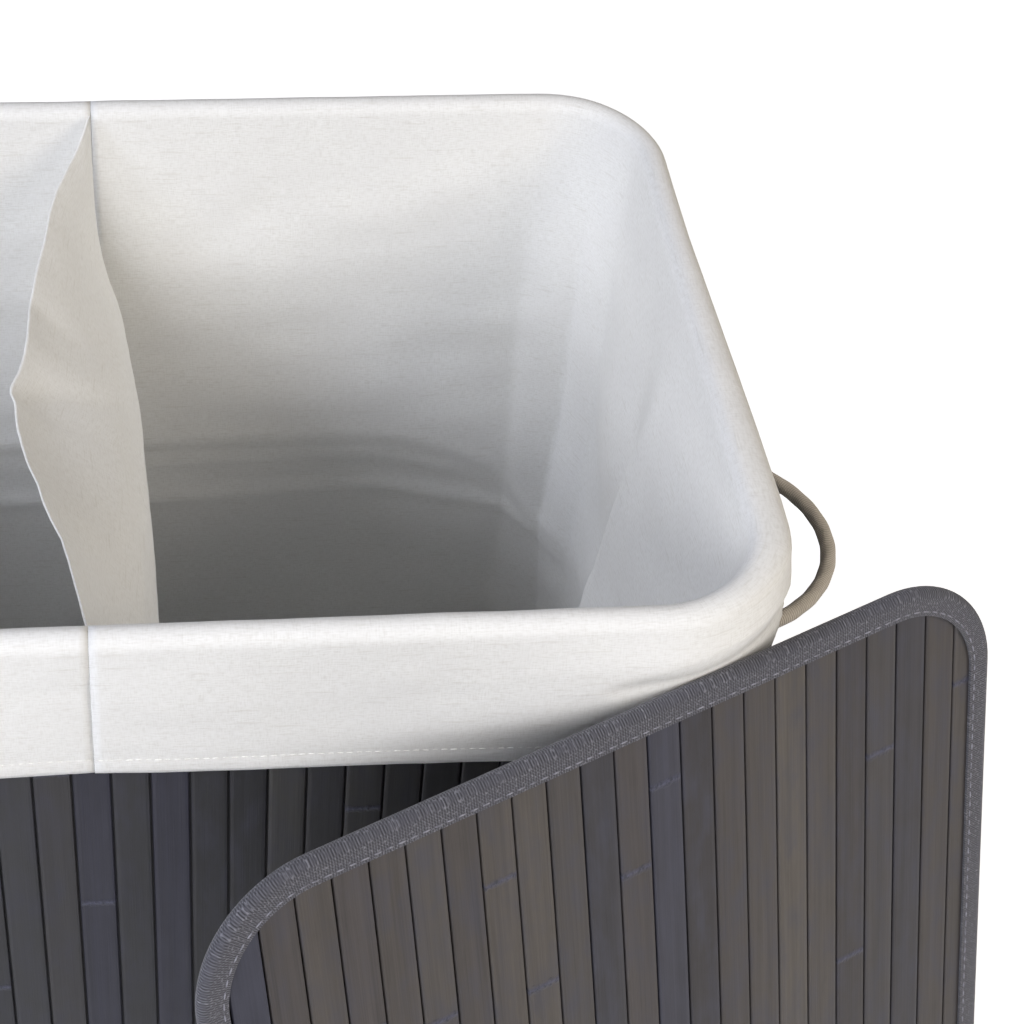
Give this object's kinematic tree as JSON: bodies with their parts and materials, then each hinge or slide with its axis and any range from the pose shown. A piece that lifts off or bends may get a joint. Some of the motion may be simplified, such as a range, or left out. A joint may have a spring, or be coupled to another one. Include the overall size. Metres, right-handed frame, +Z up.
{
  "type": "laundry hamper with two bins",
  "caption": "Rectangular hamper with a slatted wall turning rounded corners, a lift-out cloth liner split by a divider and folded over the rim, rope handles and a loose slatted lid.",
  "frame": {"origin": "middle of the underside of the hamper, on the floor", "axes": "+Z up, +X towards the right-hand end as seen from the front, -Y the front that the lid leans against"},
  "size_m": [0.7479, 0.5594, 0.56],
  "materials": {
    "bamboo": "stained dark grey, satin",
    "bamboo_lid": "stained grey brown, satin",
    "canvas": "plain woven backing",
    "tape": "woven tape with a running stitch",
    "wire": "drawn wire",
    "board": "hardboard",
    "eyelet": "plated",
    "cotton": "plain weave with slubs, matte",
    "rope": "twisted cotton rope"
  },
  "bodies": {
    "hamper": {"slats_front": "bamboo", "slats_front_right": "bamboo", "slats_right": "bamboo", "slats_back_right": "bamboo", "slats_back": "bamboo", "slats_back_left": "bamboo", "slats_left": "bamboo", "slats_front_left": "bamboo", "wall_backing": "canvas", "top_binding": "tape", "bottom_binding": "tape", "rim_wire": "wire", "base_wire": "wire", "base_cloth": "canvas", "base_board": "board", "eyelet_left_front": "eyelet", "eyelet_left_back": "eyelet", "eyelet_right_front": "eyelet", "eyelet_right_back": "eyelet", "knot_left_front": "rope", "knot_left_back": "rope", "knot_right_front": "rope", "knot_right_back": "rope"},
    "liner": {"liner_wall_left": "cotton", "liner_wall_right": "cotton", "liner_divider": "cotton", "liner_floor_left": "cotton", "liner_floor_right": "cotton"},
    "lid": {"lid_slats": "bamboo_lid", "lid_backing": "canvas", "lid_binding": "tape", "lid_wire": "wire"},
    "handle_left": {"rope_handle_left": "rope"},
    "handle_right": {"rope_handle_right": "rope"}
  },
  "joints": [
    {"name": "liner_lift", "type": "slide", "parent": "hamper", "child": "liner", "axis": [0, 0, 1], "range_m": [0, 0.62]},
    {"name": "lid_lift", "type": "slide", "parent": "hamper", "child": "lid", "axis": [0, 0, 1], "range_m": [0, 0.65]},
    {"name": "handle_left_swing", "type": "hinge", "parent": "hamper", "child": "handle_left", "pos_m": [-0.2651, 0, 0.426], "axis": [0, 1, 0], "range_deg": [-87, 76]},
    {"name": "handle_right_swing", "type": "hinge", "parent": "hamper", "child": "handle_right", "pos_m": [0.2651, 0, 0.426], "axis": [0, -1, 0], "range_deg": [-87, 76]}
  ]
}
